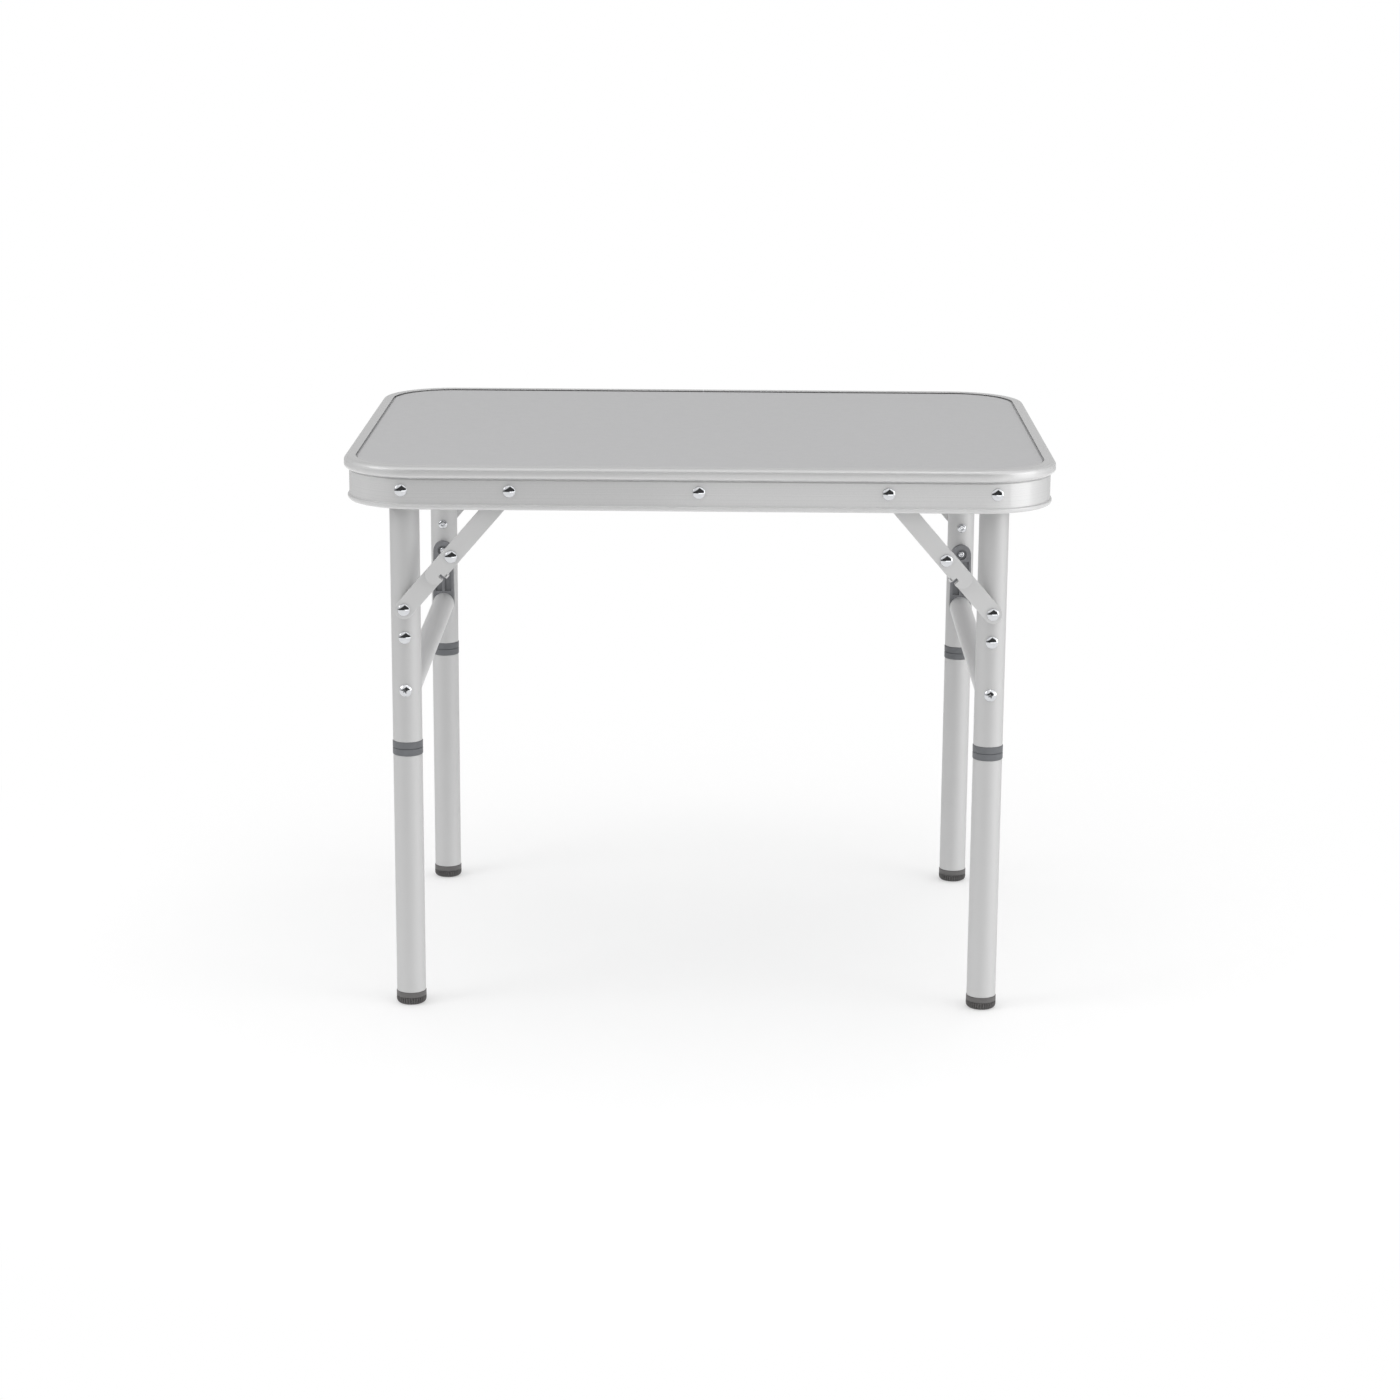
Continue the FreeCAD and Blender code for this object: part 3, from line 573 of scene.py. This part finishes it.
def bracketForm(legY, rivetZ, barZ):
    # X across, Y from the leg's axis towards the middle of the table, Z as it stands, heights in mm
    face = legY - bracketFace()
    top = bracket["topRadius"]
    boss = bracket["bossRadius"]
    over = bracket["legOver"]
    bm = bmesh.new()
    drawLine(bm, (-top, rivetZ), [(0, rivetZ, 180, 24), (boss, barZ), (0, barZ, 180, 24)], closed=True)
    bmesh.ops.contextual_create(bm, geom=bm.edges[:])
    raiseFaces(bm, (0, face, 0))
    bm = cutForm(bm, diskForm(legTube["radius"], barZ - over, rivetZ + over, 96))
    # a pocket on either side of the middle rib
    high = rivetZ - bracket["sink"] - bracket["rim"]
    low = barZ + boss + bracket["rim"]
    near = bracket["rib"] / 2
    far = top - bracket["rim"]
    for sideX in (-1, 1):
        pocket = bmesh.new()
        bmesh.ops.create_cube(pocket, size=1.0)
        bmesh.ops.scale(pocket, vec=Vector((far - near, 2 * bracket["recess"], high - low)) * mm,
                        verts=pocket.verts)
        bmesh.ops.translate(pocket, vec=(sideX * (near + far) / 2 * mm, face, (high + low) / 2 * mm),
                            verts=pocket.verts)
        bm = cutForm(bm, pocket)
    onFace = Matrix.Translation((0, face, 0)) @ Matrix.Rotation(-math.pi / 2, 4, "X")
    sink = diskForm(bracket["sink"], -bracket["sinkDeep"], bracket["sinkOver"])
    bmesh.ops.transform(sink, matrix=Matrix.Translation((0, 0, rivetZ * mm)) @ onFace, verts=sink.verts)
    bm = cutForm(bm, sink)
    spigot = diskForm(bracket["spigotRadius"], -bracket["spigotRoot"], bracket["spigot"])
    addForm(bm, spigot, Matrix.Translation((0, 0, barZ * mm)) @ onFace)
    spigot.free()
    return bm


def makeBrackets():
    form = bracketForm(middleOf("rear_right_upper_leg").y, middleOf("right_bracket_rivets").z / mm,
                       middleOf("right_crossbar").z / mm)
    for corner, (sideX, sideY) in corners.items():
        bm = bmesh.new()
        addForm(bm, form, legAxis(corner) @ Matrix.Scale(-sideY, 4, (0, 1, 0)))
        finishPiece(corner + "_saddle", bm, bracketPlastic, sideOf(sideX) + "_leg_frame",
                    [corner + "_crossbar_bracket"], bracket["edgeRound"], bracket["sharpAngle"])
    form.free()


makeBrackets()
print("brackets made")


# Rivets and screws
rivet = {"head": 5.2, "rim": 1.1, "rise": 2.6, "shank": 3.0, "tail": 4.4, "tailRise": 1.8, "steps": 40,
         "hollowMouth": 1.5, "hollowFloor": 1.2, "hollowSeat": 0.4, "strapStack": 4.0, "battenWall": 1.5,
         "edgeRound": 0.35, "sharpAngle": 40}
screw = {"head": 5.2, "rim": 0.6, "rise": 2.6, "thread": 2.1, "length": 38.0, "point": 2.0, "steps": 48,
         "slotWide": 1.2, "slotLong": 6.2, "slotDeep": 3.0, "slotTaper": (0.35, 0.6, 1), "slotTurn": 20,
         "sharpAngle": 40}


def domeMoves(radius, rim, rise, seat):
    height = rise - rim
    sphere = (radius * radius + height * height) / (2 * height)
    sweep = math.degrees(math.asin(radius / sphere))
    return [(0, seat + rise - sphere, sweep, 12), (radius, seat)]


def rivetForm(headSeat, tailSeat, tail):
    fall = rivet["tailRise"]
    floor = tailSeat - rivet["hollowSeat"]
    return turnedForm((0, headSeat + rivet["rise"]), [
        *domeMoves(rivet["head"], rivet["rim"], rivet["rise"], headSeat),
        (rivet["shank"], headSeat), (rivet["shank"], tailSeat), (tail, tailSeat),
        (tail - fall, tailSeat, 90, 5), (rivet["hollowMouth"], tailSeat - fall),
        (rivet["hollowFloor"], floor), (0, floor)], steps=rivet["steps"])


def makeRivets(name, node, body, places, tailSeat, tail=rivet["tail"]):
    form = rivetForm(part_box(node)[1].y / mm - rivet["rise"], tailSeat, tail)
    bm = bmesh.new()
    for x, z, sideY in places:
        addForm(bm, form, outward(x, z, sideY))
    form.free()
    finishPiece(name, bm, rivetMetal, body, [node], rivet["edgeRound"], rivet["sharpAngle"])


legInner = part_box("rear_right_upper_leg")[0].y / mm
pivotZ = middleOf("leg_pivot_rivets").z
pivotX = middleOf("rear_right_upper_leg").x
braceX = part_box("brace_frame_rivets")[1].x - rivet["head"] * mm
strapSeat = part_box("rear_right_top_link")[0].y / mm + rivet["strapStack"]
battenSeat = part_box("centre_batten")[1].y / mm - rivet["battenWall"]
makeRivets("pivot_rivets", "leg_pivot_rivets", "table_top",
           [(sideX * pivotX, pivotZ, sideY) for sideX, sideY in corners.values()], legInner)
makeRivets("brace_rivets", "brace_frame_rivets", "table_top",
           [(sideX * braceX, pivotZ, sideY) for sideX, sideY in corners.values()], strapSeat)
makeRivets("bar_rivets", "batten_rivets", "table_top", [(0, pivotZ, sideY) for sideY in (-1, 1)], battenSeat)
for side in sides:
    at = middleOf(side + "_brace_leg_rivets")
    makeRivets(side + "_strap_rivets", side + "_brace_leg_rivets", side + "_leg_frame",
               [(at.x, at.z, sideY) for sideY in (-1, 1)], legInner)
    at = middleOf(side + "_bracket_rivets")
    makeRivets(side + "_saddle_rivets", side + "_bracket_rivets", side + "_leg_frame",
               [(at.x, at.z, sideY) for sideY in (-1, 1)], bracketFace() / mm + bracket["sinkDeep"],
               bracket["tail"])


def screwForm(headSeat):
    # pan head with a cross recess, cut from the turned form
    tip = headSeat - screw["length"]
    bm = turnedForm((0, headSeat + screw["rise"]), [
        *domeMoves(screw["head"], screw["rim"], screw["rise"], headSeat),
        (screw["thread"], headSeat), (screw["thread"], tip + screw["point"]), (0, tip)], steps=screw["steps"])
    lifted = Matrix.Translation((0, 0, (headSeat + screw["rise"]) * mm))
    cross = bmesh.new()
    for turn in (0, 90):
        wing = bmesh.new()
        bmesh.ops.create_cube(wing, size=1.0)
        bmesh.ops.scale(wing, vec=Vector((screw["slotLong"], screw["slotWide"], 2 * screw["slotDeep"])) * mm,
                        verts=wing.verts)
        # the wings narrow towards the bottom of the recess
        bmesh.ops.scale(wing, vec=screw["slotTaper"], verts=[v for v in wing.verts if v.co.z < 0])
        addForm(cross, wing, lifted @ Matrix.Rotation(math.radians(turn + screw["slotTurn"]), 4, "Z"))
        wing.free()
    return cutForm(bm, cross)


for side in sides:
    node = side + "_crossbar_screws"
    at = middleOf(node)
    form = screwForm(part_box(node)[1].y / mm - screw["rise"])
    bm = bmesh.new()
    for sideY in (-1, 1):
        addForm(bm, form, outward(at.x, at.z, sideY))
    form.free()
    finishPiece(side + "_cross_screws", bm, rivetMetal, side + "_leg_frame", [node], 0.0,
                screw["sharpAngle"])
print("rivets and screws made")


# Folding braces
strap = {"width": 16.0, "thickness": 2.0, "endSteps": 14, "endRound": 0.999, "endMerge": 0.05,
         "edgeRound": 0.25, "sharpAngle": 50}
topStrap = {"tail": 29.0, "lugAt": 15.0, "lugWide": 3.4, "lugThick": 1.2, "lugDeep": 4.2, "lugOut": 0.3,
            "slotWide": 3.2, "slotLong": 4.8, "slotGap": 0.2}


def strapForm(start, end, slot):
    # flat on XY in mm along the brace from the frame rivet, Z across its thickness
    half = strap["width"] / 2
    bm = bmesh.new()
    bmesh.ops.create_grid(bm, x_segments=1, y_segments=1, size=0.5)
    bmesh.ops.scale(bm, vec=(end - start + 2 * half, 2 * half, 1), verts=bm.verts)
    bmesh.ops.translate(bm, vec=((start + end) / 2, 0, 0), verts=bm.verts)
    bmesh.ops.bevel(bm, geom=bm.verts[:], offset=half * strap["endRound"], segments=strap["endSteps"],
                    profile=0.5, affect="VERTICES", material=-1)
    bmesh.ops.remove_doubles(bm, verts=bm.verts, dist=strap["endMerge"])
    low, high, inside = slot
    for spot, normal in (((low, 0, 0), (1, 0, 0)), ((high, 0, 0), (1, 0, 0)), ((0, inside, 0), (0, 1, 0))):
        bmesh.ops.bisect_plane(bm, geom=bm.verts[:] + bm.edges[:] + bm.faces[:], plane_co=spot,
                               plane_no=normal, dist=0.0001)
    centres = {face: face.calc_center_median() for face in bm.faces}
    gone = [face for face, at in centres.items() if low < at.x < high and at.y > inside]
    bmesh.ops.delete(bm, geom=gone, context="FACES")
    raiseFaces(bm, (0, 0, strap["thickness"]))
    return bm


def lugForm(along):
    # stop lug: a tab off the lower edge, bent back over the strap behind
    inner = strap["width"] / 2
    outer = inner + topStrap["lugOut"]
    thick = topStrap["lugThick"]
    top = strap["thickness"]
    deep = -topStrap["lugDeep"]
    bm = bmesh.new()
    drawLine(bm, (inner - thick, 0), [
        (inner - thick, top), (outer, top), (outer, top - thick, 90, 5), (outer + thick, deep),
        (outer, deep), (outer, 0)], closed=True)
    bmesh.ops.scale(bm, vec=(1 / mm, 1 / mm, 1 / mm), verts=bm.verts)
    bmesh.ops.contextual_create(bm, geom=bm.edges[:])
    raiseFaces(bm, (0, topStrap["lugWide"], 0))
    # across the strap is its own Y, so the section's X turns to Y
    place = Matrix.Translation((along + topStrap["lugWide"] / 2, 0, 0))
    bmesh.ops.transform(bm, matrix=place @ Matrix.Rotation(math.pi / 2, 4, "Z"), verts=bm.verts)
    return bm


def makeStrap(name, form, node, body, sideX, sideY, backY):
    frameEnd = Vector((sideX * braceX, 0, pivotZ))
    legEnd = middleOf(sideOf(sideX) + "_brace_leg_rivets")
    down = Vector((legEnd.x - frameEnd.x, 0, legEnd.z - frameEnd.z)).normalized()
    out = Vector((0, sideY, 0))
    lower = Vector((-down.z * sideX, 0, down.x * sideX))
    if lower.z > 0:
        lower = -lower
    turn = Matrix((down, lower, out)).transposed().to_4x4()
    uvLayer = form.loops.layers.uv.new("strapLength")
    for face in form.faces:
        for loop in face.loops:
            loop[uvLayer].uv = (loop.vert.co.x, loop.vert.co.y + loop.vert.co.z)
    at = Matrix.Translation(frameEnd + out * backY)
    bmesh.ops.transform(form, matrix=at @ turn @ Matrix.Scale(mm, 4), verts=form.verts)
    finishPiece(name, form, strapMetal, body, [node], strap["edgeRound"],
                strap["sharpAngle"])


for corner, (sideX, sideY) in corners.items():
    legEnd = middleOf(sideOf(sideX) + "_brace_leg_rivets")
    middle = middleOf(corner + "_middle_rivet")
    topLength = math.hypot(middle.x - sideX * braceX, middle.z - pivotZ) / mm
    fullLength = math.hypot(legEnd.x - sideX * braceX, legEnd.z - pivotZ) / mm
    lowBack = min(abs(end.y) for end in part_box(corner + "_low_link"))
    topBack = max(abs(end.y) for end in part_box(corner + "_top_link")) - strap["thickness"] * mm
    lugAt = topLength + topStrap["lugAt"]
    slotFrom = lugAt + topStrap["lugWide"] / 2 + topStrap["slotGap"]
    # the slot beside the lug goes through both straps, so it shows dark
    slot = (slotFrom, slotFrom + topStrap["slotWide"], strap["width"] / 2 - topStrap["slotLong"])
    form = strapForm(0, topLength + topStrap["tail"] - strap["width"] / 2, slot)
    lug = lugForm(lugAt)
    addForm(form, lug, Matrix.Identity(4))
    lug.free()
    makeStrap(corner + "_top_strap", form, corner + "_top_link", corner + "_top_brace", sideX, sideY,
              topBack)
    makeStrap(corner + "_low_strap", strapForm(topLength, fullLength, slot), corner + "_low_link",
              corner + "_low_brace", sideX, sideY, lowBack)
    # head half of the middle rivet
    reach = [abs(end.y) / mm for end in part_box(corner + "_middle_rivet")]
    seat = max(reach) - rivet["rise"]
    bm = turnedForm((0, max(reach)), [
        *domeMoves(rivet["head"], rivet["rim"], rivet["rise"], seat),
        (rivet["shank"], seat), (rivet["shank"], min(reach)), (0, min(reach))], steps=rivet["steps"])
    bmesh.ops.transform(bm, matrix=outward(middle.x, middle.z, sideY), verts=bm.verts)
    finishPiece(corner + "_brace_middle", bm, rivetMetal, corner + "_top_brace",
                [corner + "_middle_rivet"], rivet["edgeRound"], rivet["sharpAngle"])
print("braces made")


# CAD nodes that keep their shape and get a finish
def dress(node, material):
    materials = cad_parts[node].data.materials
    materials.clear()
    materials.append(material)


dress("centre_batten", barMetal)
dress("leg_pivot_bushes", bushPlastic)
dress("brace_spacers", bushPlastic)
for corner in corners:
    dress(corner + "_middle_rivet_tail", rivetMetal)
print("carried nodes dressed")


# Studio, in metres, with levels as shares of full white
studio = {"floorReach": 2.3, "floorPaint": "#FCFCFC", "floorRough": 0.9, "floorSheen": 0.1,
          "fadeFrom": 0.4, "fadeTo": 0.9, "fadeLeast": 0.35,
          "worldLevel": 0.93, "leftLevel": 0.75, "rightLevel": 1.3, "leftEnd": -0.9, "rightEnd": 0.5,
          "wallLevel": 0.55, "wallFrom": -0.5, "wallTo": 0.2,
          "darkLevel": 0.05, "darkMiddle": 0.12, "darkSlope": 0.75, "darkInner": 0.66, "darkOuter": 0.74,
          "darkFront": -0.1}
softboxes = {
    "right_softbox": {"place": (2.4, -1.05, 0.65), "aim": (0, 0, 0.4), "size": (1.7, 1.5), "power": 17},
    "left_softbox": {"place": (-2.1, -1.0, 1.5), "aim": (0, 0, 0.4), "size": (1.2, 1.2), "power": 10},
    "top_strip": {"place": (0.5, -0.3, 2.2), "aim": (0.1, -0.2, 0.4), "size": (2.4, 0.1), "power": 2.5},
    "low_front_strip": {"place": (0.7, -1.7, 0.1), "aim": (0.1, 0, 0.42), "size": (1.6, 0.2), "power": 1.4},
}


def makeFloor():
    bm = bmesh.new()
    bmesh.ops.create_circle(bm, cap_ends=True, segments=96, radius=studio["floorReach"])
    mesh = bpy.data.meshes.new("floor")
    bm.to_mesh(mesh)
    bm.free()
    material, tree, shader, where = newMaterial("matt_white_floor", 0.0)
    shader.inputs["Base Color"].default_value = linear(studio["floorPaint"])
    shader.inputs["Roughness"].default_value = studio["floorRough"]
    shader.inputs["Specular IOR Level"].default_value = studio["floorSheen"]
    # matt paint near the table, fading into the white of the surroundings further out
    away = addNode(tree, "ShaderNodeVectorMath", {"operation": "LENGTH"}, {0: where.outputs["Object"]})
    fade = addNode(tree, "ShaderNodeMapRange",
                   {1: studio["fadeFrom"], 2: studio["fadeTo"], 3: studio["fadeLeast"], 4: 1.0},
                   {0: away.outputs["Value"]})
    rays = addNode(tree, "ShaderNodeLightPath")
    seen = addNode(tree, "ShaderNodeMath", {"operation": "MAXIMUM"},
                   {0: rays.outputs["Is Camera Ray"], 1: rays.outputs["Is Glossy Ray"]})
    share = addNode(tree, "ShaderNodeMath", {"operation": "MULTIPLY"},
                    {0: seen.outputs[0], 1: fade.outputs[0]})
    white = addNode(tree, "ShaderNodeEmission", {"Strength": 1.0})
    mixed = addNode(tree, "ShaderNodeMixShader", None,
                    {0: share.outputs[0], 1: shader.outputs[0], 2: white.outputs[0]})
    tree.links.new(mixed.outputs[0], tree.nodes["Material Output"].inputs["Surface"])
    mesh.materials.append(material)
    floor = bpy.data.objects.new("floor", mesh)
    scene.collection.objects.link(floor)


def makeWorld():
    world = bpy.data.worlds.new("studio")
    scene.world = world
    world.use_nodes = True
    tree = world.node_tree
    ground = tree.nodes["Background"]
    where = addNode(tree, "ShaderNodeTexCoord")
    parts = addNode(tree, "ShaderNodeSeparateXYZ", None, {0: where.outputs["Generated"]})
    # the unlit end of the room, a tent shape low in front, which polished heads mirror
    across = addNode(tree, "ShaderNodeMath", {"operation": "SUBTRACT", 1: studio["darkMiddle"]},
                     {0: parts.outputs["X"]})
    aside = addNode(tree, "ShaderNodeMath", {"operation": "ABSOLUTE"}, {0: across.outputs[0]})
    tent = addNode(tree, "ShaderNodeMath", {"operation": "MULTIPLY_ADD", 1: studio["darkSlope"]},
                   {0: aside.outputs[0], 2: parts.outputs["Z"]})
    inside = addNode(tree, "ShaderNodeMapRange",
                     {1: studio["darkInner"], 2: studio["darkOuter"], 3: 1.0, 4: 0.0}, {0: tent.outputs[0]})
    front = addNode(tree, "ShaderNodeMapRange", {1: 0.0, 2: studio["darkFront"], 3: 0.0, 4: 1.0},
                    {0: parts.outputs["Y"]})
    dark = addNode(tree, "ShaderNodeMath", {"operation": "MULTIPLY"},
                   {0: inside.outputs[0], 1: front.outputs[0]})
    rays = addNode(tree, "ShaderNodeLightPath")
    glossy = addNode(tree, "ShaderNodeMath", {"operation": "MULTIPLY"},
                     {0: dark.outputs[0], 1: rays.outputs["Is Glossy Ray"]})
    # in metal the lit side in front gets lighter to the right, and the wall behind is greyer
    lit = addNode(tree, "ShaderNodeMapRange",
                  {1: studio["leftEnd"], 2: studio["rightEnd"], 3: studio["leftLevel"],
                   4: studio["rightLevel"]}, {0: parts.outputs["X"]})
    wall = addNode(tree, "ShaderNodeMapRange",
                   {1: studio["wallFrom"], 2: studio["wallTo"], 4: studio["wallLevel"]},
                   {0: parts.outputs["Y"], 3: lit.outputs[0]})
    plain = addNode(tree, "ShaderNodeMapRange", {3: studio["worldLevel"]},
                    {0: rays.outputs["Is Glossy Ray"], 4: wall.outputs[0]})
    clear = addNode(tree, "ShaderNodeMath", {"operation": "MAXIMUM"},
                    {0: rays.outputs["Is Camera Ray"], 1: rays.outputs["Is Transmission Ray"]})
    level = addNode(tree, "ShaderNodeMapRange", {4: 1.0}, {0: clear.outputs[0], 3: plain.outputs[0]})
    dimmed = addNode(tree, "ShaderNodeMapRange", {4: studio["darkLevel"]},
                     {0: glossy.outputs[0], 3: level.outputs[0]})
    ground.inputs["Color"].default_value = (1, 1, 1, 1)
    tree.links.new(dimmed.outputs[0], ground.inputs["Strength"])


def addSoftbox(name, box):
    lamp = bpy.data.lights.new(name, "AREA")
    lamp.shape = "RECTANGLE"
    lamp.size, lamp.size_y = box["size"]
    lamp.energy = box["power"]
    softbox = bpy.data.objects.new(name, lamp)
    softbox.location = box["place"]
    facing = Vector(box["aim"]) - Vector(box["place"])
    softbox.rotation_euler = facing.to_track_quat("-Z", "Y").to_euler()
    scene.collection.objects.link(softbox)


makeFloor()
makeWorld()
for name, box in softboxes.items():
    addSoftbox(name, box)


# Camera fitted to the photo's outline, rivets and feet
viewpoint = {"place": (0.022664, -2.899483, 0.937468), "yaw": -0.00771, "pitch": 0.24099, "roll": 0.00648,
             "lens": 84.507, "sensor": 36, "farthest": 50}


def makeCamera():
    lens = bpy.data.cameras.new("camera")
    lens.sensor_width = viewpoint["sensor"]
    lens.lens = viewpoint["lens"]
    lens.clip_end = viewpoint["farthest"]
    camera = bpy.data.objects.new("camera", lens)
    camera.matrix_world = (Matrix.Translation(viewpoint["place"])
                           @ Matrix.Rotation(-viewpoint["yaw"], 4, "Z")
                           @ Matrix.Rotation(math.pi / 2 - viewpoint["pitch"], 4, "X")
                           @ Matrix.Rotation(viewpoint["roll"], 4, "Z"))
    scene.collection.objects.link(camera)
    scene.camera = camera


makeCamera()
scene.view_settings.view_transform = "Standard"
print("studio and camera set")
